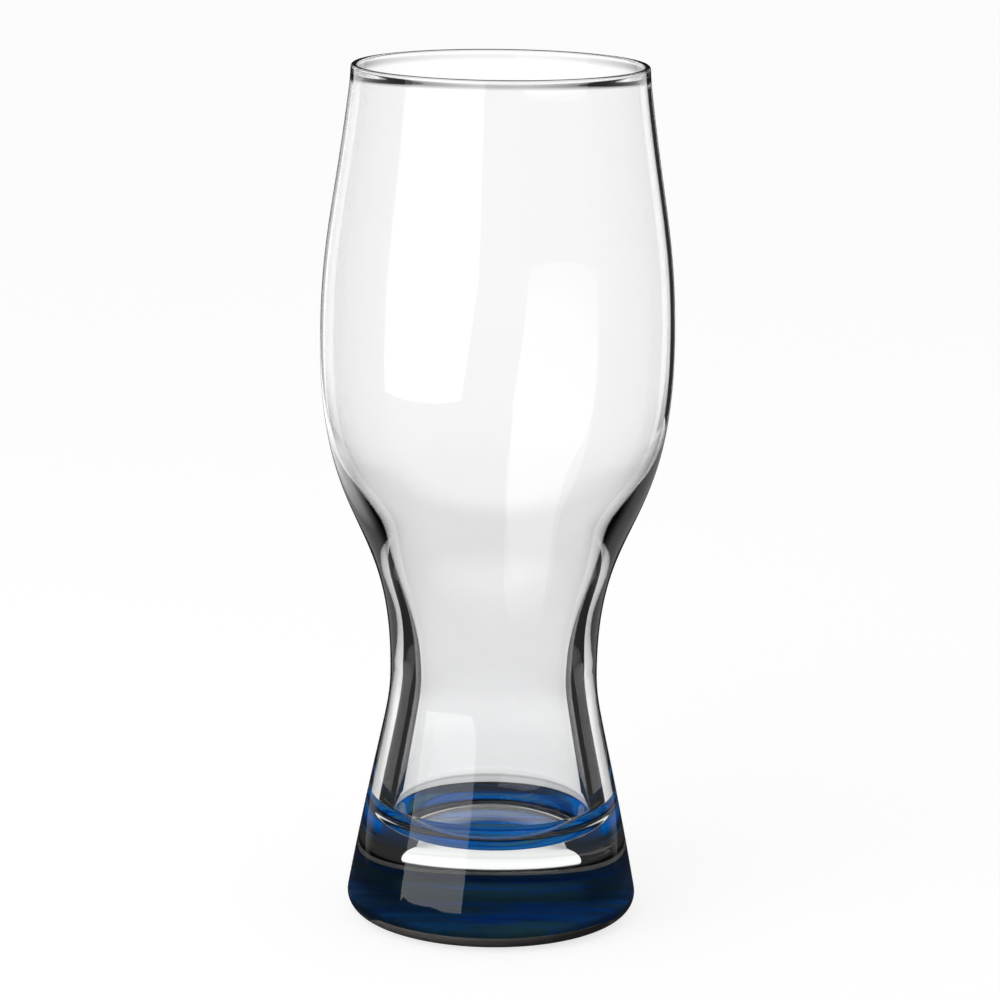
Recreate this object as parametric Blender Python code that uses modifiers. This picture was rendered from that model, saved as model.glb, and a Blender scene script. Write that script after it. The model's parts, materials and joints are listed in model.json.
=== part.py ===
"""Pilsner glass: a clear, heavy-footed beer glass with a blue lacquer coat under its foot.

Both pieces are turned about +Z. The glass stands on its bearing ring at z = 0,
and the coat lies in the shallow hollow inside that ring.
"""

import math

import bpy
import numpy as np
from mathutils import Vector
from mathutils.geometry import interpolate_bezier

# Outside of the glass, in metres from the table up
TOTAL_HEIGHT = 0.192
RIM_RADIUS = 0.03265
BELLY_HEIGHT = 0.1307
BELLY_RADIUS = 0.0392
WAIST_HEIGHT = 0.0560
WAIST_RADIUS = 0.02326
BEND_HEIGHT = 0.0453
BEND_GAIN = 0.00116
FOOT_RADIUS = 0.0327
HEEL_ROUND = 0.0040

# How far the outside runs along its tangent at each of those places
RIM_REACH = 0.0286
BELLY_REACH_UP = 0.0233
BELLY_REACH_DOWN = 0.0430
WAIST_REACH_UP = 0.0367
WAIST_REACH_DOWN = 0.00375
BEND_REACH_UP = 0.0043
BEND_REACH_DOWN = 0.0067
FOOT_REACH = 0.0200

# Outward run of the wall for each unit down it
RIM_FLARE = 0.114
BEND_FLARE = 0.1996
FOOT_FLARE = 0.1803

# Wall, measured level from the outside: even in the bowl, thicker through the throat
BOWL_WALL = 0.0010
THROAT_GAIN = 0.00268
THROAT_HEIGHT = 0.09585
THROAT_BLEND = 0.0042

# Below the throat the wall thickens quickly down to the waist and slowly from there to the foot
WAIST_TAPER = 0.0996
WAIST_TAPER_HEIGHT = 0.0755
FOOT_TAPER = 0.0312
FOOT_TAPER_HEIGHT = 0.0587
TAPER_BLEND = 0.0030

# Floor of the hollow
FLOOR_HEIGHT = 0.0186
FLOOR_ROUND = 0.0072

# Fire-polished bead round the mouth
BEAD_RADIUS = 0.0010
BEAD_STAND = 0.0003

# Underside of the foot
BEARING_WIDTH = 0.0018
PUNT_STEP = 0.0010
PUNT_LIP = 0.0008
PUNT_RISE = 0.0016

# Lacquer coat and its clearance to the glass
COAT_THICKNESS = 0.0003
COAT_GAP = 0.0003

# Facets
TURN_STEPS = 48
WALL_POINTS = 12
ROUND_POINTS = 4
DOME_POINTS = 4


def bezier(start, start_handle, end_handle, end, count):
    """Points (radius, height) on one Bezier span, without its last point."""
    knots = [Vector((x, z)) for x, z in (start, start_handle, end_handle, end)]
    return [tuple(p) for p in interpolate_bezier(*knots, count)][:-1]


def arc(centre, radius, start_angle, end_angle, count):
    """Points (radius, height) along an arc, both ends included."""
    return [
        (centre[0] + radius * math.cos(a), centre[1] + radius * math.sin(a))
        for a in np.linspace(start_angle, end_angle, count)
    ]


def slope_step(point, flare, drop):
    """The point reached by going down by drop along a wall that widens by flare."""
    return (point[0] + flare * drop, point[1] - drop)


def bead_centre():
    """Centre (radius, height) of the bead's round section."""
    return (RIM_RADIUS + BEAD_STAND - BEAD_RADIUS, TOTAL_HEIGHT - BEAD_RADIUS)


def bead():
    """The bead's section, from the inner wall over the top to the outer wall."""
    centre = bead_centre()
    inner_share = (RIM_RADIUS - BOWL_WALL - centre[0]) / BEAD_RADIUS
    inner_angle = 2 * math.pi - math.acos(max(-1.0, inner_share))
    outer_angle = -math.acos(min(1.0, (RIM_RADIUS - centre[0]) / BEAD_RADIUS))
    top_angle = math.pi / 2
    inner_half = arc(centre, BEAD_RADIUS, inner_angle, top_angle, ROUND_POINTS + 1)
    outer_half = arc(centre, BEAD_RADIUS, top_angle, outer_angle, ROUND_POINTS)
    return inner_half[:-1] + outer_half


def heel():
    """The rounded heel, from the flared wall down to the bearing ring."""
    wall_lean = math.atan(FOOT_FLARE)
    centre = (FOOT_RADIUS - HEEL_ROUND, HEEL_ROUND)
    return arc(centre, HEEL_ROUND, wall_lean, -math.pi / 2, ROUND_POINTS + 2)


def outer_wall():
    """The outside from under the bead down to the heel, without the heel's first point."""
    rim = bead()[-1]
    belly = (BELLY_RADIUS, BELLY_HEIGHT)
    waist = (WAIST_RADIUS, WAIST_HEIGHT)
    bend = (WAIST_RADIUS + BEND_GAIN, BEND_HEIGHT)
    foot = heel()[0]
    bowl = bezier(
        rim,
        slope_step(rim, RIM_FLARE, RIM_REACH),
        (BELLY_RADIUS, BELLY_HEIGHT + BELLY_REACH_UP),
        belly,
        WALL_POINTS,
    )
    shoulder = bezier(
        belly,
        (BELLY_RADIUS, BELLY_HEIGHT - BELLY_REACH_DOWN),
        (WAIST_RADIUS, WAIST_HEIGHT + WAIST_REACH_UP),
        waist,
        WALL_POINTS + 6,
    )
    turn = bezier(
        waist,
        (WAIST_RADIUS, WAIST_HEIGHT - WAIST_REACH_DOWN),
        slope_step(bend, BEND_FLARE, -BEND_REACH_UP),
        bend,
        WALL_POINTS // 2,
    )
    skirt = bezier(
        bend,
        slope_step(bend, BEND_FLARE, BEND_REACH_DOWN),
        slope_step(foot, FOOT_FLARE, -FOOT_REACH),
        foot,
        WALL_POINTS,
    )
    return bowl[1:] + shoulder + turn + skirt


def outside_radius(height):
    """Radius of the outside at a height."""
    radii, heights = np.array(outer_wall()).T
    return float(np.interp(height, heights[::-1], radii[::-1]))


def depth_below(start, height):
    """How far a height lies below the start of a taper, eased in at the start."""
    return TAPER_BLEND * math.log1p(math.exp((start - height) / TAPER_BLEND))


def wall(height):
    """Level thickness of the wall at a height."""
    throat = THROAT_GAIN / (1 + math.exp((height - THROAT_HEIGHT) / THROAT_BLEND))
    waist = WAIST_TAPER * depth_below(WAIST_TAPER_HEIGHT, height)
    foot = (FOOT_TAPER - WAIST_TAPER) * depth_below(FOOT_TAPER_HEIGHT, height)
    return BOWL_WALL + throat + waist + foot


def inner_floor():
    """The hollow's floor and its rounded corner."""
    top = FLOOR_HEIGHT + FLOOR_ROUND
    centre = (outside_radius(top) - wall(top) - FLOOR_ROUND, top)
    return [(0.0, FLOOR_HEIGHT)] + arc(centre, FLOOR_ROUND, -math.pi / 2, 0.0, ROUND_POINTS + 2)


def inner_wall():
    """The hollow's side, from its rounded corner up through waist, throat and bowl to the bead."""
    low, high = inner_floor()[-1][1], bead()[0][1]
    beside = [point for point in outer_wall() if low < point[1] < high]
    return [(radius - wall(height), height) for radius, height in reversed(beside)]


def dome(edge_radius, edge_height, rise):
    """A shallow dome from its edge in to the axis."""
    return [
        (edge_radius * share, edge_height + rise * (1 - share**2))
        for share in np.linspace(1.0, 0.0, DOME_POINTS)
    ]


def ring_inner_radius():
    """Inner edge of the flat bearing ring."""
    return FOOT_RADIUS - HEEL_ROUND - BEARING_WIDTH


def punt_radius():
    """Radius of the hollow under the foot, above its sloping lip."""
    return ring_inner_radius() - PUNT_LIP


def underside():
    """The bearing ring's inner edge, the hollow's lip and its dome."""
    return [(ring_inner_radius(), 0.0)] + dome(punt_radius(), PUNT_STEP, PUNT_RISE)


def glass_section():
    """The glass from the axis inside, over the rim and down the outside to the axis below."""
    inside = inner_floor() + inner_wall()
    return inside + bead() + outer_wall() + heel() + underside()


def coat_section():
    """The coat from the axis on top, round its edge and back to the axis below."""
    edge = punt_radius() - COAT_GAP
    dome_at_edge = PUNT_STEP + PUNT_RISE * (1 - (edge / punt_radius()) ** 2)
    rise = PUNT_RISE * (edge / punt_radius()) ** 2
    top = dome(edge, dome_at_edge - COAT_GAP, rise)
    bottom = dome(edge, dome_at_edge - COAT_GAP - COAT_THICKNESS, rise)
    return top[::-1] + bottom


def make_material(name, colour, roughness, transmission):
    """A plain surface finish in a colour given as red, green and blue."""
    material = bpy.data.materials.new(name)
    material.use_nodes = True
    shader = material.node_tree.nodes["Principled BSDF"]
    shader.inputs["Base Color"].default_value = (*colour, 1.0)
    shader.inputs["Roughness"].default_value = roughness
    shader.inputs["Metallic"].default_value = 0.0
    shader.inputs["Transmission Weight"].default_value = transmission
    return material


def turned(name, section, material, collection, parent):
    """An object made by turning a section about +Z."""
    points = [(radius, 0.0, height) for radius, height in section]
    edges = [(i, i + 1) for i in range(len(points) - 1)]
    mesh = bpy.data.meshes.new(name)
    mesh.from_pydata(points, edges, [])
    mesh.materials.append(material)
    obj = bpy.data.objects.new(name, mesh)
    collection.objects.link(obj)
    obj.parent = parent
    screw = obj.modifiers.new("Turn", "SCREW")
    screw.axis = "Z"
    screw.angle = 2 * math.pi
    screw.steps = TURN_STEPS
    screw.render_steps = TURN_STEPS
    screw.use_merge_vertices = True
    screw.merge_threshold = 0.00001
    screw.use_smooth_shade = True
    return obj


def main():
    """Clears the scene and builds the glass and its coat."""
    for obj in list(bpy.data.objects):
        bpy.data.objects.remove(obj)
    collection = bpy.data.collections.new("pilsner_glass")
    bpy.context.scene.collection.children.link(collection)
    table_point = bpy.data.objects.new("table_point", None)
    collection.objects.link(table_point)
    clear_glass = make_material("clear_glass", (0.96, 0.98, 0.96), 0.02, 1.0)
    blue_lacquer = make_material("blue_lacquer", (0.01, 0.08, 0.55), 0.3, 0.0)
    turned("glass_body", glass_section(), clear_glass, collection, table_point)
    turned("base_color_coat", coat_section(), blue_lacquer, collection, table_point)


main()
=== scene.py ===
"""Looks of the pilsner glass: clear turned glass, brushed blue lacquer and a bright studio."""

from __future__ import annotations

import json
import logging
import math
from dataclasses import dataclass
from enum import Enum
from typing import ClassVar

import bmesh
import bpy
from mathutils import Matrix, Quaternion, Vector
from mathutils.geometry import interpolate_bezier

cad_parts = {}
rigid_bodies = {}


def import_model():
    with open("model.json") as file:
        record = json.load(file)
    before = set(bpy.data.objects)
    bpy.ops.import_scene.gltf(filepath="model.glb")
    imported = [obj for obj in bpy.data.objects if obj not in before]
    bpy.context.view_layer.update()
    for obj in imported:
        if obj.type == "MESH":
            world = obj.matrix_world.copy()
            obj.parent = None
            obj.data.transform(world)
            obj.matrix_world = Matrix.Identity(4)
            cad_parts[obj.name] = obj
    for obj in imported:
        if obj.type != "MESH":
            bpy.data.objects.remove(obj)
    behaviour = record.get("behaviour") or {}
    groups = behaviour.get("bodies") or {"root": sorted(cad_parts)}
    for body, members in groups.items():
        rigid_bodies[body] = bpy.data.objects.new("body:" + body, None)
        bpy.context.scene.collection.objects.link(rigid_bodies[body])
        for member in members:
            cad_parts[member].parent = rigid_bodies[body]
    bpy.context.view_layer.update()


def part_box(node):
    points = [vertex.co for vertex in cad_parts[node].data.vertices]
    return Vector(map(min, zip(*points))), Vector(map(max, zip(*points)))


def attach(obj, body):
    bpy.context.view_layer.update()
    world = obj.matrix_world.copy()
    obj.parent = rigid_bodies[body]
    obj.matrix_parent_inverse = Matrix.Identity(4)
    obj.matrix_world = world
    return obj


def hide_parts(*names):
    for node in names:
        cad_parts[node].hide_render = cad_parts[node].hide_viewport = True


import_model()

LOG = logging.getLogger("pilsner_glass")
BODY = "root"
STARTUP_OBJECTS = ("Cube", "Light", "Camera")
WHITE = (1.0, 1.0, 1.0, 1.0)
Point = tuple[float, float]
Place = tuple[float, float, float]
Colour = tuple[float, float, float]
Levels = tuple[Point, ...]
NodeSocket = bpy.types.NodeSocket


class Piece(Enum):
    """The pieces of the object, named for the CAD node that each one stands for."""

    GLASS = "glass_body"
    COAT = "base_color_coat"


class Slot(Enum):
    """Material slots of the record."""

    GLASS = "clear_glass"
    COAT = "blue_lacquer"


class Seen(Enum):
    """Where the glass shows a lit sheet of the studio."""

    THROUGH = "through the glass"
    OUTER_FACE = "on the glass's outer face"
    BOTH = "through the glass and on its faces"


def bezier(start: Point, start_handle: Point, end_handle: Point, end: Point, count: int) -> list[Point]:
    """Points on one Bezier span of a section.

    Args:
        start: First point as radius and height.
        start_handle: Handle of the first point.
        end_handle: Handle of the last point.
        end: Last point.
        count: Number of points on the span, both ends counted.

    Returns:
        The span's points without its last one.
    """
    knots = [Vector(p) for p in (start, start_handle, end_handle, end)]
    return [(p.x, p.y) for p in interpolate_bezier(*knots, count)][:-1]


def arc(centre: Point, radius: float, first: float, last: float, count: int) -> list[Point]:
    """Points along an arc of a section.

    Args:
        centre: Centre as radius and height.
        radius: Radius of the arc.
        first: Angle of the first point, in radians.
        last: Angle of the last point, in radians.
        count: Number of points, both ends counted.

    Returns:
        The arc's points.
    """
    turn = (last - first) / (count - 1)
    angles = [first + turn * i for i in range(count)]
    return [(centre[0] + radius * math.cos(a), centre[1] + radius * math.sin(a)) for a in angles]


def inset(path: list[Point], depth: float) -> list[Point]:
    """Moves a path that ends on the axis to its right.

    Args:
        path: Points as radius and height.
        depth: Distance to move by.

    Returns:
        The moved points, the last still on the axis.
    """
    ends = [path[0]] + path + [(-path[-2][0], path[-2][1])]
    moved = []
    for before, point, after in zip(ends, path, ends[2:]):
        along = (Vector(after) - Vector(before)).normalized()
        moved.append((point[0] + depth * along.y, point[1] - depth * along.x))
    return moved


def down(point: Point, flare: float, drop: float) -> Point:
    """The point reached by going down a wall that widens by flare for each unit."""
    return (point[0] + flare * drop, point[1] - drop)


class NodeTree:
    """A thin helper that adds and links nodes of one tree."""

    def __init__(self, tree: bpy.types.NodeTree) -> None:
        """Keeps the tree that nodes are added to."""
        self.tree = tree

    def add(self, kind: str, **settings: object) -> bpy.types.Node:
        """Adds a node.

        Args:
            kind: Blender's name of the node type.
            **settings: Properties of the node to set.

        Returns:
            The new node.
        """
        node = self.tree.nodes.new(kind)
        for name, value in settings.items():
            setattr(node, name, value)
        return node

    def link(self, source: NodeSocket, target: NodeSocket) -> None:
        """Links an output to an input."""
        self.tree.links.new(source, target)

    def feed(self, target: NodeSocket, value: NodeSocket | float | tuple[float, ...]) -> None:
        """Links an output to an input, or sets the input to a plain value.

        Args:
            target: The input.
            value: The output or the plain value.
        """
        if isinstance(value, NodeSocket):
            self.link(value, target)
        else:
            target.default_value = value

    def place(self) -> NodeSocket:
        """Adds the place on the object."""
        return self.add("ShaderNodeTexCoord").outputs["Object"]

    def axes(self, place: NodeSocket) -> bpy.types.NodeOutputs:
        """Splits a place into X, Y and Z.

        Args:
            place: The place.

        Returns:
            The outputs X, Y and Z.
        """
        split = self.add("ShaderNodeSeparateXYZ")
        self.link(place, split.inputs[0])
        return split.outputs

    def math(self, operation: str, *values: NodeSocket | float) -> NodeSocket:
        """Adds a Math node.

        Args:
            operation: Blender's name of the operation.
            *values: A socket or a number for each input.

        Returns:
            The result's socket.
        """
        node = self.add("ShaderNodeMath", operation=operation)
        for socket, value in zip(node.inputs, values):
            self.feed(socket, value)
        return node.outputs[0]

    def ramp(self, value: NodeSocket, start: Point, end: Point) -> NodeSocket:
        """Adds a smooth change from one level to another.

        Args:
            value: What the level depends on.
            start: Value at which the change starts, and the level there.
            end: Value at which the change ends, and the level there.

        Returns:
            The level's socket.
        """
        change = self.add("ShaderNodeMapRange", interpolation_type="SMOOTHSTEP")
        for name, number in zip(("From Min", "To Min", "From Max", "To Max"), (*start, *end)):
            change.inputs[name].default_value = number
        self.link(value, change.inputs["Value"])
        return change.outputs[0]

    def blend(self, share: NodeSocket, first: NodeSocket | Colour, second: NodeSocket | Colour) -> NodeSocket:
        """Mixes two colours.

        Args:
            share: Share of the second colour.
            first: The first colour.
            second: The second colour.

        Returns:
            The mixed colour.
        """
        mix = self.add("ShaderNodeMix", data_type="RGBA")
        self.link(share, mix.inputs["Factor"])
        # Inputs 6 and 7 and output 2 are the ones for colours
        for socket, value in ((mix.inputs[6], first), (mix.inputs[7], second)):
            self.feed(socket, value if isinstance(value, NodeSocket) else (*value, 1.0))
        return mix.outputs[2]

    def mix(self, share: NodeSocket, first: NodeSocket, second: NodeSocket) -> NodeSocket:
        """Mixes two shaders.

        Args:
            share: Share of the second shader.
            first: The first shader.
            second: The second shader.

        Returns:
            The mixed shader.
        """
        node = self.add("ShaderNodeMixShader")
        for source, target in zip((share, first, second), node.inputs):
            self.link(source, target)
        return node.outputs[0]


@dataclass(frozen=True)
class Lathe:
    """A Geometry Nodes lathe that turns a section about +Z."""

    INPUTS: ClassVar[dict[str, str]] = {
        "Geometry": "NodeSocketGeometry",
        "Turn Steps": "NodeSocketInt",
        "Section Points": "NodeSocketInt",
        "Weld": "NodeSocketFloat",
        "Finish": "NodeSocketMaterial",
    }

    steps: int = 192
    weld: float = 2e-6
    rounding: float = 1e-4

    def tree(self) -> bpy.types.NodeTree:
        """Builds the node tree.

        Returns:
            A tree whose inputs are the section, its turning and its finish.
        """
        tree = bpy.data.node_groups.new("turn_section", "GeometryNodeTree")
        for name, kind in self.INPUTS.items():
            tree.interface.new_socket(name, in_out="INPUT", socket_type=kind)
        tree.interface.new_socket("Geometry", in_out="OUTPUT", socket_type="NodeSocketGeometry")
        kit = NodeTree(tree)
        given = kit.add("NodeGroupInput").outputs
        grid = kit.add("GeometryNodeMeshGrid")
        kit.link(kit.math("ADD", given["Turn Steps"], 1.0), grid.inputs["Vertices X"])
        kit.link(given["Section Points"], grid.inputs["Vertices Y"])
        index = kit.add("GeometryNodeInputIndex").outputs[0]
        share = kit.math("DIVIDE", index, given["Section Points"])
        column = kit.math("FLOOR", kit.math("ADD", share, self.rounding))
        row = kit.math("SUBTRACT", index, kit.math("MULTIPLY", column, given["Section Points"]))
        sample = kit.add("GeometryNodeSampleIndex", data_type="FLOAT_VECTOR", domain="POINT")
        kit.link(given["Geometry"], sample.inputs["Geometry"])
        kit.link(kit.add("GeometryNodeInputPosition").outputs[0], sample.inputs["Value"])
        kit.link(kit.math("ROUND", row), sample.inputs["Index"])
        point = kit.axes(sample.outputs["Value"])
        angle = kit.math("MULTIPLY", kit.math("DIVIDE", column, given["Turn Steps"]), math.tau)
        turned = kit.add("ShaderNodeCombineXYZ")
        kit.link(kit.math("MULTIPLY", point["X"], kit.math("COSINE", angle)), turned.inputs["X"])
        kit.link(kit.math("MULTIPLY", point["X"], kit.math("SINE", angle)), turned.inputs["Y"])
        kit.link(point["Z"], turned.inputs["Z"])
        moved = kit.add("GeometryNodeSetPosition")
        kit.link(grid.outputs["Mesh"], moved.inputs["Geometry"])
        kit.link(turned.outputs[0], moved.inputs["Position"])
        welded = kit.add("GeometryNodeMergeByDistance")
        kit.link(moved.outputs[0], welded.inputs["Geometry"])
        kit.link(given["Weld"], welded.inputs["Distance"])
        smooth = kit.add("GeometryNodeSetShadeSmooth")
        kit.link(welded.outputs[0], smooth.inputs["Geometry"])
        real = kit.add("GeometryNodeRealizeInstances")
        kit.link(smooth.outputs[0], real.inputs["Geometry"])
        dressed = kit.add("GeometryNodeSetMaterial")
        kit.link(real.outputs[0], dressed.inputs["Geometry"])
        kit.link(given["Finish"], dressed.inputs["Material"])
        kit.link(dressed.outputs[0], kit.add("NodeGroupOutput").inputs[0])
        return tree

    def turn(self, name: str, section: list[Point], finish: bpy.types.Material) -> bpy.types.Object:
        """Turns a section into a plain closed mesh.

        Args:
            name: Name of the object.
            section: Points as radius and height, from axis to axis.
            finish: Material of the surface.

        Returns:
            The finished object, at the origin.
        """
        line = bpy.data.meshes.new(name + "_section")
        line.from_pydata([(r, 0.0, z) for r, z in section], [], [])
        obj = bpy.data.objects.new(name, line)
        bpy.context.scene.collection.objects.link(obj)
        lathe = obj.modifiers.new("turn", "NODES")
        lathe.node_group = self.tree()
        values = {
            "Turn Steps": self.steps,
            "Section Points": len(section),
            "Weld": self.weld,
            "Finish": finish,
        }
        for item in lathe.node_group.interface.items_tree:
            if item.in_out == "INPUT" and item.name in values:
                lathe[item.identifier] = values[item.name]
        graph = bpy.context.evaluated_depsgraph_get()
        graph.update()
        mesh = bpy.data.meshes.new_from_object(obj.evaluated_get(graph))
        obj.modifiers.remove(lathe)
        obj.data = mesh
        mesh.name = name
        bpy.data.meshes.remove(line)
        work = bmesh.new()
        work.from_mesh(mesh)
        bmesh.ops.recalc_face_normals(work, faces=work.faces)
        work.to_mesh(mesh)
        work.free()
        return obj


@dataclass(frozen=True)
class ClearGlass:
    """Fire-polished soda-lime glass."""

    ior: float = 1.52
    tint: Colour = (0.86, 0.95, 0.88)
    density: float = 4.0
    waviness: float = 0.000003
    wave_scale: float = 220.0
    wave_detail: float = 2.0

    def material(self) -> bpy.types.Material:
        """Builds the material.

        Returns:
            Clear glass with a faint tint where it is thick.
        """
        made = bpy.data.materials.new("clear_glass")
        made.use_nodes = True
        kit = NodeTree(made.node_tree)
        shader = made.node_tree.nodes["Principled BSDF"]
        shader.inputs["Base Color"].default_value = WHITE
        shader.inputs["Roughness"].default_value = 0.0
        shader.inputs["IOR"].default_value = self.ior
        shader.inputs["Transmission Weight"].default_value = 1.0
        waves = kit.add("ShaderNodeTexNoise")
        waves.inputs["Scale"].default_value = self.wave_scale
        waves.inputs["Detail"].default_value = self.wave_detail
        kit.link(kit.place(), waves.inputs["Vector"])
        bump = kit.add("ShaderNodeBump")
        bump.inputs["Distance"].default_value = self.waviness
        kit.link(waves.outputs["Fac"], bump.inputs["Height"])
        kit.link(bump.outputs[0], shader.inputs["Normal"])
        volume = kit.add("ShaderNodeVolumeAbsorption")
        volume.inputs["Color"].default_value = (*self.tint, 1.0)
        volume.inputs["Density"].default_value = self.density
        kit.link(volume.outputs[0], made.node_tree.nodes["Material Output"].inputs["Volume"])
        return made


@dataclass(frozen=True)
class Strokes:
    """Brush strokes along X: a noise with so many strokes for each metre along X, Y and Z."""

    scale: Place
    low: float
    high: float
    detail: float = 5.0
    roughness: float = 0.6
    distortion: float = 0.3

    def strength(self, kit: NodeTree) -> NodeSocket:
        """Adds the strokes to a material.

        Args:
            kit: The material's tree.

        Returns:
            Strength of the strokes, 0 at the noise level low and 1 at high.
        """
        stretch = kit.add("ShaderNodeMapping")
        stretch.inputs["Scale"].default_value = self.scale
        kit.link(kit.place(), stretch.inputs["Vector"])
        noise = kit.add("ShaderNodeTexNoise")
        noise.inputs["Scale"].default_value = 1.0
        noise.inputs["Detail"].default_value = self.detail
        noise.inputs["Roughness"].default_value = self.roughness
        noise.inputs["Distortion"].default_value = self.distortion
        kit.link(stretch.outputs[0], noise.inputs["Vector"])
        return kit.ramp(noise.outputs["Fac"], (self.low, 0.0), (self.high, 1.0))


@dataclass(frozen=True)
class BlueLacquer:
    """Translucent blue lacquer, brushed on in level strokes, dark seen along it, and pale grey on the heel
    where it is worn, made paler with painted light.
    """

    bright: Colour = (0.0, 0.26, 1.0)
    deep: Colour = (0.0, 0.09, 0.42)
    pale: Colour = (0.07, 0.24, 0.34)
    dark: Colour = (0.034, 0.105, 0.125)
    dark_blue: Colour = (0.010, 0.105, 0.56)
    # Pale grey of the heel: worn lacquer, made paler than its own colour as painted light for the light the
    # heel shows
    worn_and_painted_light: Colour = (0.52, 0.49, 0.47)
    clouds: Strokes = Strokes((18.0, 110.0, 18.0), 0.44, 0.58)
    streaks: Strokes = Strokes((14.0, 300.0, 14.0), 0.48, 0.58)
    pools: Strokes = Strokes((20.0, 70.0, 20.0), 0.46, 0.62)
    gloss_roughness: float = 0.3
    facing_blend: float = 0.5
    square_on: Point = (0.40, 0.0)
    grazing: Point = (0.72, 0.95)
    heel_radius: float = 0.029
    edge_front: Point = (-0.024, 0.0034)
    edge_back: Point = (-0.012, 0.0004)
    edge_blur: float = 0.0003

    def heel(self, kit: NodeTree, axes: bpy.types.NodeOutputs) -> NodeSocket:
        """Adds a mask that is 1 on the heel and 0 under the foot."""
        squares = [kit.math("MULTIPLY", axes[name], axes[name]) for name in "XY"]
        return kit.math("GREATER_THAN", kit.math("ADD", *squares), self.heel_radius**2)

    def bare(self, kit: NodeTree, axes: bpy.types.NodeOutputs, heel: NodeSocket) -> NodeSocket:
        """Adds the bare glass above the coat's edge, which is high in front and low at the back.

        Args:
            kit: The material's tree.
            axes: The place on the coat.
            heel: Mask of the heel.

        Returns:
            Share of bare glass.
        """
        edge = kit.ramp(axes["Y"], self.edge_front, self.edge_back)
        above = kit.math("SUBTRACT", axes["Z"], edge)
        return kit.math("MULTIPLY", kit.ramp(above, (0.0, 0.0), (self.edge_blur, 1.0)), heel)

    def lit(self, kit: NodeTree) -> NodeSocket:
        """Adds the streaky blue that light from below brings out.

        Args:
            kit: The material's tree.

        Returns:
            The shader.
        """
        light = kit.add("ShaderNodeBsdfTranslucent")
        body = kit.blend(self.clouds.strength(kit), self.deep, self.pale)
        kit.link(kit.blend(self.streaks.strength(kit), body, self.bright), light.inputs["Color"])
        return light.outputs[0]

    def gloss(self, kit: NodeTree) -> NodeSocket:
        """Adds the dark gloss that shows along the coat.

        Args:
            kit: The material's tree.

        Returns:
            The shader.
        """
        gloss = kit.add("ShaderNodeBsdfGlossy")
        kit.link(kit.blend(self.pools.strength(kit), self.dark, self.dark_blue), gloss.inputs["Color"])
        gloss.inputs["Roughness"].default_value = self.gloss_roughness
        return gloss.outputs[0]

    def film(self, kit: NodeTree, heel: NodeSocket) -> NodeSocket:
        """Adds the coat itself.

        Args:
            kit: The material's tree.
            heel: Mask of the heel, where the coat is worn and shows a pale grey made paler as painted light.

        Returns:
            The shader.
        """
        facing = kit.add("ShaderNodeLayerWeight")
        facing.inputs["Blend"].default_value = self.facing_blend
        along = kit.ramp(facing.outputs["Facing"], self.square_on, self.grazing)
        # The heel's matt pale grey is partly worn lacquer and partly painted light
        matt = kit.add("ShaderNodeBsdfDiffuse")
        matt.inputs["Color"].default_value = (*self.worn_and_painted_light, 1.0)
        return kit.mix(heel, kit.mix(along, self.lit(kit), self.gloss(kit)), matt.outputs[0])

    def material(self) -> bpy.types.Material:
        """Builds the material.

        Returns:
            Blue lacquer that lets light through from below.
        """
        made = bpy.data.materials.new("blue_lacquer")
        made.use_nodes = True
        made.node_tree.nodes.clear()
        kit = NodeTree(made.node_tree)
        axes = kit.axes(kit.place())
        heel = self.heel(kit, axes)
        far_face = kit.add("ShaderNodeNewGeometry").outputs["Backfacing"]
        unseen = kit.math("MAXIMUM", far_face, self.bare(kit, axes, heel))
        clear = kit.add("ShaderNodeBsdfTransparent")
        surface = kit.mix(unseen, self.film(kit, heel), clear.outputs[0])
        kit.link(surface, kit.add("ShaderNodeOutputMaterial").inputs["Surface"])
        return made


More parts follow.
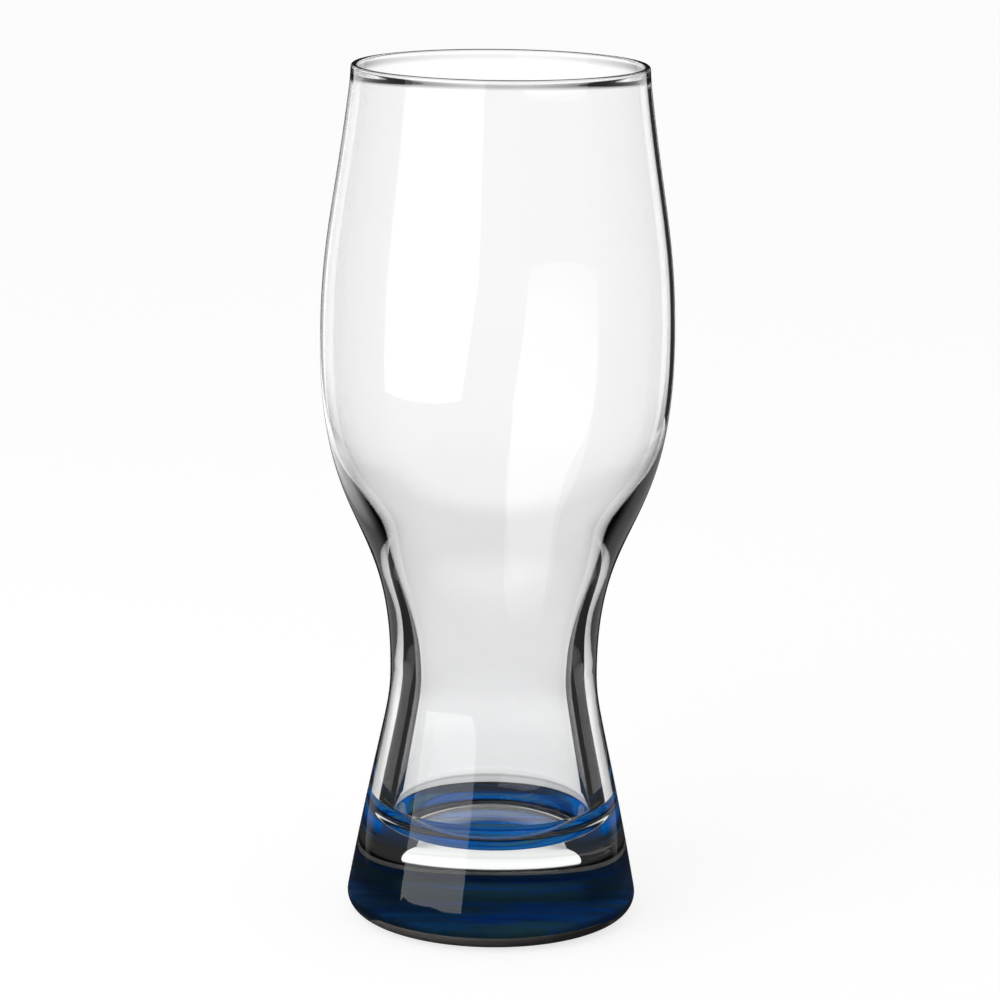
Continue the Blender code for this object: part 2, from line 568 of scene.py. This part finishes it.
@dataclass
class GlassBody:
    """The clear glass: bead, bowl, throat, bore, foot and heel in one turned section."""

    rim_radius: float = 0.03265
    rim_flare: float = 0.114
    rim_reach: float = 0.0286
    belly_height: float = 0.1307
    belly_reach_up: float = 0.0233
    belly_reach_down: float = 0.0430
    waist_radius: float = 0.02326
    waist_height: float = 0.0560
    waist_reach_up: float = 0.0367
    waist_reach_down: float = 0.00375
    bend_height: float = 0.0453
    bend_gain: float = 0.00116
    bend_flare: float = 0.1996
    bend_reach_up: float = 0.0043
    bend_reach_down: float = 0.0067
    foot_radius: float = 0.0327
    foot_flare: float = 0.1803
    foot_reach: float = 0.0200
    heel_round: float = 0.0040
    bowl_wall: float = 0.0010
    throat_gain: float = 0.00268
    throat_height: float = 0.09585
    throat_blend: float = 0.0042
    waist_taper: float = 0.0996
    waist_taper_height: float = 0.0755
    foot_taper: float = 0.0312
    foot_taper_height: float = 0.0587
    taper_blend: float = 0.0030
    floor_height: float = 0.0186
    floor_round: float = 0.0072
    rim_drop: float = 0.001714
    bead_drop: float = 0.00071
    bead_reach: float = 0.0022
    bead_outer: float = 0.00018
    bead_inner: float = 0.00030
    bead_steps: int = 4
    bead_least: float = 0.001
    bearing_width: float = 0.0018
    punt_step: float = 0.0010
    punt_lip: float = 0.0008
    punt_rise: float = 0.0016
    wall_points: int = 48
    round_points: int = 14

    def __post_init__(self) -> None:
        """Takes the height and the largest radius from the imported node."""
        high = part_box(Piece.GLASS.value)[1]
        self.total_height = high.z
        self.belly_radius = high.x

    def swell(self, height: float) -> float:
        """Share of the bead's full swelling at a height."""
        return math.exp(-(((self.total_height - height) / self.bead_reach) ** 2))

    def bead(self) -> list[Point]:
        """The bead's rounded top.

        Returns:
            Its points from the inner wall over to the outer wall.
        """
        radius, height = self.outside()[0]
        half = self.wall(height) / 2
        return arc((radius - half, height), half, math.pi, 0.0, 2 * self.round_points)

    def heel(self) -> list[Point]:
        """The rounded heel, from the flared wall down to the bearing ring."""
        centre = (self.foot_radius - self.heel_round, self.heel_round)
        return arc(centre, self.heel_round, math.atan(self.foot_flare), -math.pi / 2, self.round_points)

    def outside(self) -> list[Point]:
        """The outer wall.

        Returns:
            Its points from the bead down to the heel.
        """
        rim, foot = (self.rim_radius, self.total_height - self.rim_drop), self.heel()[0]
        top = down(rim, self.rim_flare, self.bead_drop - self.rim_drop)
        belly = (self.belly_radius, self.belly_height)
        waist = (self.waist_radius, self.waist_height)
        bend = (self.waist_radius + self.bend_gain, self.bend_height)
        bowl = bezier(
            rim,
            down(rim, self.rim_flare, self.rim_reach),
            down(belly, 0.0, -self.belly_reach_up),
            belly,
            self.wall_points,
        )
        shoulder = bezier(
            belly,
            down(belly, 0.0, self.belly_reach_down),
            down(waist, 0.0, -self.waist_reach_up),
            waist,
            self.wall_points,
        )
        turn = bezier(
            waist,
            down(waist, 0.0, self.waist_reach_down),
            down(bend, self.bend_flare, -self.bend_reach_up),
            bend,
            self.wall_points // 2,
        )
        skirt = bezier(
            bend,
            down(bend, self.bend_flare, self.bend_reach_down),
            down(foot, self.foot_flare, -self.foot_reach),
            foot,
            self.wall_points,
        )
        return self.beaded([top] + bowl) + shoulder + turn + skirt

    def beaded(self, wall: list[Point]) -> list[Point]:
        """Adds points to a wall near its top and swells it there.

        Args:
            wall: Points from the top down.

        Returns:
            The swelled wall.
        """
        path = []
        for above, below in zip(wall, wall[1:]):
            steps = self.bead_steps if self.swell(above[1]) > self.bead_least else 1
            path += [Vector(above).lerp(Vector(below), step / steps) for step in range(steps)]
        return [(r + self.bead_outer * self.swell(z), z) for r, z in path + [Vector(wall[-1])]]

    def outside_radius(self, height: float) -> float:
        """Radius of the outer wall at a height.

        Args:
            height: Height above the table.

        Returns:
            The radius between the two nearest points of the section.
        """
        wall = self.outside()
        for above, below in zip(wall, wall[1:]):
            if below[1] <= height <= above[1]:
                share = (height - below[1]) / (above[1] - below[1])
                return below[0] + share * (above[0] - below[0])
        raise ValueError(f"no wall at height {height}")

    def depth_below(self, start: float, height: float) -> float:
        """How far a height lies below the start of a taper, eased in at the start."""
        return self.taper_blend * math.log1p(math.exp((start - height) / self.taper_blend))

    def wall(self, height: float) -> float:
        """Level thickness of the wall, thin in the bowl and growing through the throat and down the waist.

        Args:
            height: Height above the table.

        Returns:
            The thickness.
        """
        throat = self.throat_gain / (1.0 + math.exp((height - self.throat_height) / self.throat_blend))
        waist = self.waist_taper * self.depth_below(self.waist_taper_height, height)
        foot = (self.foot_taper - self.waist_taper) * self.depth_below(self.foot_taper_height, height)
        bead = (self.bead_outer + self.bead_inner) * self.swell(height)
        return self.bowl_wall + throat + waist + foot + bead

    def inside(self) -> list[Point]:
        """The hollow.

        Returns:
            Its points from the axis at its floor up to the bead.
        """
        low, high = self.floor_height + self.floor_round, self.total_height - self.bead_drop
        end = (self.outside_radius(low) - self.wall(low), low)
        centre = (end[0] - self.floor_round, low)
        corner = arc(centre, self.floor_round, -math.pi / 2, 0.0, self.round_points)
        wall = [(r - self.wall(z), z) for r, z in self.outside() if low < z < high]
        return [(0.0, self.floor_height)] + corner + wall[::-1]

    def punt_radius(self) -> float:
        """Radius of the hollow under the foot, above its lip."""
        return self.foot_radius - self.heel_round - self.bearing_width - self.punt_lip

    def punt(self) -> list[Point]:
        """The underside.

        Returns:
            Its points from the bearing ring's inner edge to the axis.
        """
        ring = (self.foot_radius - self.heel_round - self.bearing_width, 0.0)
        shares = [1.0 - i / self.round_points for i in range(self.round_points + 1)]
        return [ring] + [(self.punt_radius() * s, self.punt_height(s)) for s in shares]

    def punt_height(self, share: float) -> float:
        """Height of the punt's dome at a share of its radius."""
        return self.punt_step + self.punt_rise * (1.0 - share**2)

    def build(self) -> bpy.types.Object:
        """Turns the glass and ties it to the frame.

        Returns:
            The glass.
        """
        section = self.inside() + self.bead() + self.outside()[1:] + self.heel() + self.punt()
        glass = Lathe().turn("clear_glass_body", section, ClearGlass().material())
        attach(glass, BODY)
        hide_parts(Piece.GLASS.value)
        return glass


@dataclass
class ColourCoat:
    """The lacquer on the underside, a film set a hair inside the glass so that no air shows."""

    glass: GlassBody
    under: float = 0.00002
    thickness: float = 0.00008
    heel_share: float = 0.25

    def build(self) -> bpy.types.Object:
        """Turns the coat and ties it to the frame.

        Returns:
            The coat.
        """
        heel = self.glass.heel()
        path = heel[int(len(heel) * self.heel_share):] + self.glass.punt()
        top = inset(path, self.under + self.thickness)
        coat = Lathe().turn("lacquer_coat", top[::-1] + inset(path, self.under), BlueLacquer().material())
        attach(coat, BODY)
        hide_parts(Piece.COAT.value)
        return coat


@dataclass(frozen=True)
class PhotoCamera:
    """The photograph's view: from a little above, with a long lens."""

    place: Place = (0.0, -0.8286, 0.2797)
    aim: Place = (0.000975, 0.0, 0.0948)
    lens: float = 136.96
    sensor_width: float = 36.0
    roll: float = 0.01233

    def build(self) -> bpy.types.Object:
        """Makes the camera and hands it to the scene.

        Returns:
            The camera.
        """
        data = bpy.data.cameras.new("photo_camera")
        data.lens = self.lens
        data.sensor_width = self.sensor_width
        camera = bpy.data.objects.new("photo_camera", data)
        bpy.context.scene.collection.objects.link(camera)
        camera.location = self.place
        look = Vector(self.aim) - Vector(self.place)
        turn = look.to_track_quat("-Z", "Y") @ Quaternion((0.0, 0.0, 1.0), self.roll)
        camera.rotation_mode = "QUATERNION"
        camera.rotation_quaternion = turn
        bpy.context.scene.camera = camera
        bpy.context.view_layer.update()
        return camera


@dataclass(frozen=True)
class Wing:
    """A lit sheet close at one side, with its strength by height and a fade by depth."""

    BOWL: ClassVar[Levels] = ((0.08, 0.6), (0.105, 1.85), (0.26, 1.85))
    BOWL_LEFT: ClassVar[Levels] = (
        (-0.03, 0.0), (0.0, 0.35), (0.036, 0.82), (0.06, 1.0), (0.11, 1.0), (0.132, 0.0),
    )
    BOWL_RIGHT: ClassVar[Levels] = (
        (-0.03, 0.0), (0.0, 0.35), (0.036, 0.82), (0.06, 1.0), (0.09, 1.0), (0.11, 0.0),
    )
    NECK_LEFT: ClassVar[Levels] = (
        (0.0, 0.35), (0.025, 0.35), (0.033, 0.8), (0.05, 1.5), (0.062, 1.7), (0.072, 1.5), (0.082, 0.0),
    )
    NECK_RIGHT: ClassVar[Levels] = ((0.0, 0.3), (0.06, 0.3), (0.07, 0.0))
    NECK_FADE: ClassVar[Levels] = ((0.03, 0.0), (0.06, 1.0), (0.35, 1.0))

    side: float
    heights: Levels
    fade: Levels

    def corners(self) -> list[Place]:
        """The sheet's corners.

        Returns:
            The corners in order.
        """
        low, high = self.heights[0][0], self.heights[-1][0]
        front, back = self.fade[0][0], self.fade[-1][0]
        return [(self.side, y, z) for y, z in ((front, low), (back, low), (back, high), (front, high))]


@dataclass
class Studio:
    """Pale floor, a lit panel behind the glass and a softbox at its left, turned to face the camera."""

    camera: bpy.types.Object
    floor_half: float = 6.0
    floor_drop: float = 0.0003
    floor_paper: float = 0.45
    floor_glow: float = 0.75
    floor_bounce: float = 0.8
    ambient: float = 0.48
    dim: float = 0.024
    backdrop: float = 1.0
    panel_away: float = 2.0
    panel_half: float = 1.04
    panel_levels: Levels = (
        (-1.90, 0.60), (-1.50, 0.65), (-1.36, 0.45), (-1.22, 0.85), (-0.85, 0.95), (-0.66, 0.89),
        (-0.60, 0.925), (-0.57, 0.97), (-0.53, 1.035), (-0.40, 1.075), (-0.20, 1.10), (0.14, 1.10),
        (0.38, 0.25),
    )
    flag_away: float = 0.10
    flag_level: float = 0.03
    flag_outline: tuple[Point, ...] = (
        (0.054, 0.085), (0.14, 0.085), (0.14, 0.2), (0.0545, 0.185), (0.0585, 0.15), (0.060, 0.12),
        (0.058, 0.10),
    )
    glow_level: float = 1.06
    glow_radius: float = 0.026
    glow_drop: float = 0.0002
    glow_points: int = 48
    softbox_turn: float = -31.7
    softbox_away: float = 0.414
    softbox_gap: float = 0.002
    softbox_outline: tuple[Point, ...] = (
        (-0.393, -0.012), (-0.354, -0.006), (-0.114, 0.012), (0.067, 0.020),
        (0.115, 0.10), (0.147, 0.18), (0.155, 0.75), (-0.393, 0.75),
    )
    softbox_gloss: Levels = ((0.0, 1.9), (0.04, 1.9), (0.07, 1.1), (0.3, 1.2))
    softbox_levels: Levels = ((0.0, 0.45), (0.03, 0.6), (0.05, 0.95), (0.12, 1.1), (0.3, 1.5))
    wings: tuple[Wing, ...] = (
        Wing(-0.10, Wing.BOWL, Wing.BOWL_LEFT),
        Wing(0.10, Wing.BOWL, Wing.BOWL_RIGHT),
        Wing(-0.10, Wing.NECK_LEFT, Wing.NECK_FADE),
        Wing(0.10, Wing.NECK_RIGHT, Wing.NECK_FADE),
    )

    def __post_init__(self) -> None:
        """Makes the turntable that the lit sheets stand on and the mast that the panel hangs on."""
        self.turntable = self.stand("studio_turntable", (0.0, 0.0, 0.0), "LOCKED_TRACK", lock_axis="LOCK_Z")
        self.mast = self.stand("studio_mast", PhotoCamera.aim, "TRACK_TO", up_axis="UP_Z")
        bpy.context.view_layer.update()

    def stand(self, name: str, place: Place, kind: str, **axis: str) -> bpy.types.Object:
        """Makes a stand that turns to face the camera.

        Args:
            name: Name of the stand.
            place: Where it stands.
            kind: Blender's name of the constraint that turns it.
            **axis: The axis that the constraint keeps.

        Returns:
            The stand.
        """
        stand = bpy.data.objects.new(name, None)
        bpy.context.scene.collection.objects.link(stand)
        stand.location = place
        face = stand.constraints.new(kind)
        face.target = self.camera
        face.track_axis = "TRACK_NEGATIVE_Y"
        for setting, value in axis.items():
            setattr(face, setting, value)
        return stand

    def sheet(self, name: str, corners: list[Place]) -> bpy.types.Object:
        """Makes a flat sheet of the stage.

        Args:
            name: Name of the sheet.
            corners: Its corners in order.

        Returns:
            The sheet, marked as stage.
        """
        mesh = bpy.data.meshes.new(name)
        mesh.from_pydata(corners, [], [list(range(len(corners)))])
        obj = bpy.data.objects.new(name, mesh)
        bpy.context.scene.collection.objects.link(obj)
        return obj

    def finish(self, sheet: bpy.types.Object) -> NodeTree:
        """Gives a sheet a material of its own.

        Args:
            sheet: The sheet.

        Returns:
            The material's tree, still empty.
        """
        made = bpy.data.materials.new(sheet.name + "_paper")
        made.use_nodes = True
        made.node_tree.nodes.clear()
        sheet.data.materials.append(made)
        return NodeTree(made.node_tree)

    def glow(self, kit: NodeTree, strength: NodeSocket | float) -> NodeSocket:
        """Adds plain white light to a sheet's material.

        Args:
            kit: The material's tree.
            strength: Strength of the light.

        Returns:
            The shader.
        """
        light = kit.add("ShaderNodeEmission")
        kit.feed(light.inputs["Strength"], strength)
        return light.outputs[0]

    def paper(self, kit: NodeTree, level: float) -> NodeSocket:
        """Adds matt grey paper to a sheet's material.

        Args:
            kit: The material's tree.
            level: Level of the grey.

        Returns:
            The shader.
        """
        matt = kit.add("ShaderNodeBsdfDiffuse")
        matt.inputs["Color"].default_value = (level, level, level, 1.0)
        return matt.outputs[0]

    def sky(self, kit: NodeTree, strength: float) -> NodeSocket:
        """Adds even white light from all round to the world.

        Args:
            kit: The world's tree.
            strength: Strength of the light.

        Returns:
            The shader.
        """
        light = kit.add("ShaderNodeBackground")
        light.inputs["Color"].default_value = WHITE
        light.inputs["Strength"].default_value = strength
        return light.outputs[0]

    def floor(self) -> None:
        """Lays white paper that shows the shadow to the camera and not in the glass."""
        turns = ((-1, -1), (1, -1), (1, 1), (-1, 1))
        half, level = self.floor_half, -self.floor_drop
        floor = self.sheet("floor", [(x * half, y * half, level) for x, y in turns])
        kit = self.finish(floor)
        seen = kit.add("ShaderNodeAddShader")
        kit.link(self.paper(kit, self.floor_paper), seen.inputs[0])
        kit.link(self.glow(kit, self.floor_glow), seen.inputs[1])
        camera_ray = kit.add("ShaderNodeLightPath").outputs["Is Camera Ray"]
        surface = kit.mix(camera_ray, self.paper(kit, self.floor_bounce), seen.outputs[0])
        kit.link(surface, kit.add("ShaderNodeOutputMaterial").inputs["Surface"])
        floor.visible_glossy = False
        floor.visible_transmission = False

    def level(self, kit: NodeTree, axis: str, levels: Levels) -> NodeSocket:
        """Adds a strength that changes along an axis.

        Args:
            kit: The material's tree.
            axis: Name of the axis.
            levels: Places on the axis and the strength at each, in rising order.

        Returns:
            The strength's socket.
        """
        low, high = levels[0][0], levels[-1][0]
        most = max(strength for _, strength in levels)
        along = kit.axes(kit.place())[axis]
        ramp = kit.add("ShaderNodeValToRGB")
        stops = ramp.color_ramp.elements
        while len(stops) < len(levels):
            stops.new(0.5)
        for stop, (place, strength) in zip(stops, levels):
            stop.position = (place - low) / (high - low)
            stop.color = (*(strength / most,) * 3, 1.0)
        kit.link(kit.math("DIVIDE", kit.math("SUBTRACT", along, low), high - low), ramp.inputs["Fac"])
        return kit.math("MULTIPLY", ramp.outputs["Color"], most)

    def even(self, strength: float) -> Levels:
        """The same strength all along an axis."""
        return ((-1.0, strength), (1.0, strength))

    def lit_sheet(self, name: str, corners: list[Place], seen: Seen, **levels: Levels) -> bpy.types.Object:
        """Sets up a lit sheet that only the glass shows.

        Args:
            name: Name of the sheet.
            corners: Its corners in order.
            seen: Where the glass shows it.
            **levels: For each axis, places on it and the strength at each.

        Returns:
            The sheet, on the turntable.
        """
        sheet = self.sheet(name, corners)
        kit = self.finish(sheet)
        strengths = [self.level(kit, axis, places) for axis, places in levels.items()]
        while len(strengths) > 1:
            strengths.append(kit.math("MULTIPLY", strengths.pop(), strengths.pop()))
        kit.link(self.glow(kit, strengths[0]), kit.add("ShaderNodeOutputMaterial").inputs["Surface"])
        sheet.visible_camera = False
        sheet.visible_diffuse = False
        sheet.visible_shadow = False
        sheet.visible_glossy = seen is not Seen.THROUGH
        sheet.visible_transmission = seen is not Seen.OUTER_FACE
        sheet.parent = self.turntable
        return sheet

    def panel(self) -> None:
        """Hangs the lit panel far behind the glass as the camera sees it."""
        half, low, high = self.panel_half, self.panel_levels[0][0], self.panel_levels[-1][0]
        outline = ((-half, low), (half, low), (half, high), (-half, high))
        corners = [(x, self.panel_away, z) for x, z in outline]
        panel = self.lit_sheet("lit_panel", corners, Seen.THROUGH, Z=self.panel_levels)
        panel.parent = self.mast
        panel.matrix_parent_inverse = self.mast.matrix_world.inverted()

    def flag(self) -> None:
        """Sets a black flag behind the bowl's right edge, which darkens that edge."""
        corners = [(x, self.flag_away, z) for x, z in self.flag_outline]
        self.lit_sheet("black_flag", corners, Seen.THROUGH, Z=self.even(self.flag_level))

    def foot_glow(self) -> None:
        """Lays lit paper under the foot, which lights the lacquer from below."""
        turns = [math.tau * i / self.glow_points for i in range(self.glow_points)]
        radius, level = self.glow_radius, -self.glow_drop
        corners = [(radius * math.cos(a), radius * math.sin(a), level) for a in turns]
        self.lit_sheet("foot_glow", corners, Seen.BOTH, Z=self.even(self.glow_level))

    def hang_wings(self) -> None:
        """Sets the wings that brighten the grazing reflections on the bowl and the neck."""
        for wing in self.wings:
            self.lit_sheet("lit_wing", wing.corners(), Seen.OUTER_FACE, Z=wing.heights, Y=wing.fade)

    def softbox_corners(self, away: float) -> list[Place]:
        """Corners of the softbox's outline, set up square to its own direction.

        Args:
            away: Distance from the glass's axis.

        Returns:
            The corners in order.
        """
        turn = math.radians(self.softbox_turn)
        middle = Vector((math.sin(turn), -math.cos(turn), 0.0)) * away
        right = Vector((math.cos(turn), math.sin(turn), 0.0))
        return [tuple(middle + right * x + Vector((0.0, 0.0, z))) for x, z in self.softbox_outline]

    def softbox(self) -> None:
        """Sets the softbox at the camera's left, with a face of its own for the glass's outer face."""
        near = self.softbox_away - self.softbox_gap
        box = self.softbox_corners(self.softbox_away)
        self.lit_sheet("softbox", box, Seen.BOTH, Z=self.softbox_levels).visible_diffuse = True
        face = self.softbox_corners(near)
        self.lit_sheet("softbox_gloss", face, Seen.OUTER_FACE, Z=self.softbox_gloss)

    def room(self) -> None:
        """Sets soft light all round that glass sees as a dim room and the camera as white."""
        world = bpy.data.worlds.new("room")
        bpy.context.scene.world = world
        world.use_nodes = True
        world.node_tree.nodes.clear()
        kit = NodeTree(world.node_tree)
        path = kit.add("ShaderNodeLightPath").outputs
        in_glass = kit.math("MAXIMUM", path["Is Glossy Ray"], path["Is Transmission Ray"])
        around = kit.mix(in_glass, self.sky(kit, self.ambient), self.sky(kit, self.dim))
        seen = kit.mix(path["Is Camera Ray"], around, self.sky(kit, self.backdrop))
        kit.link(seen, kit.add("ShaderNodeOutputWorld").inputs["Surface"])

    def build(self) -> None:
        """Sets up the whole studio."""
        bpy.context.scene.view_settings.view_transform = "Standard"
        self.floor()
        self.panel()
        self.flag()
        self.foot_glow()
        self.hang_wings()
        self.softbox()
        self.room()


def main() -> None:
    """Builds the pieces, then the camera and the studio."""
    logging.basicConfig(level=logging.INFO)
    for obj in [o for o in bpy.data.objects if o.name in STARTUP_OBJECTS]:
        bpy.data.objects.remove(obj)
    body = GlassBody()
    for piece in (body.build(), ColourCoat(body).build()):
        LOG.info("%s: %d faces", piece.name, len(piece.data.polygons))
    camera = PhotoCamera().build()
    Studio(camera).build()


if __name__ == "__main__":
    main()
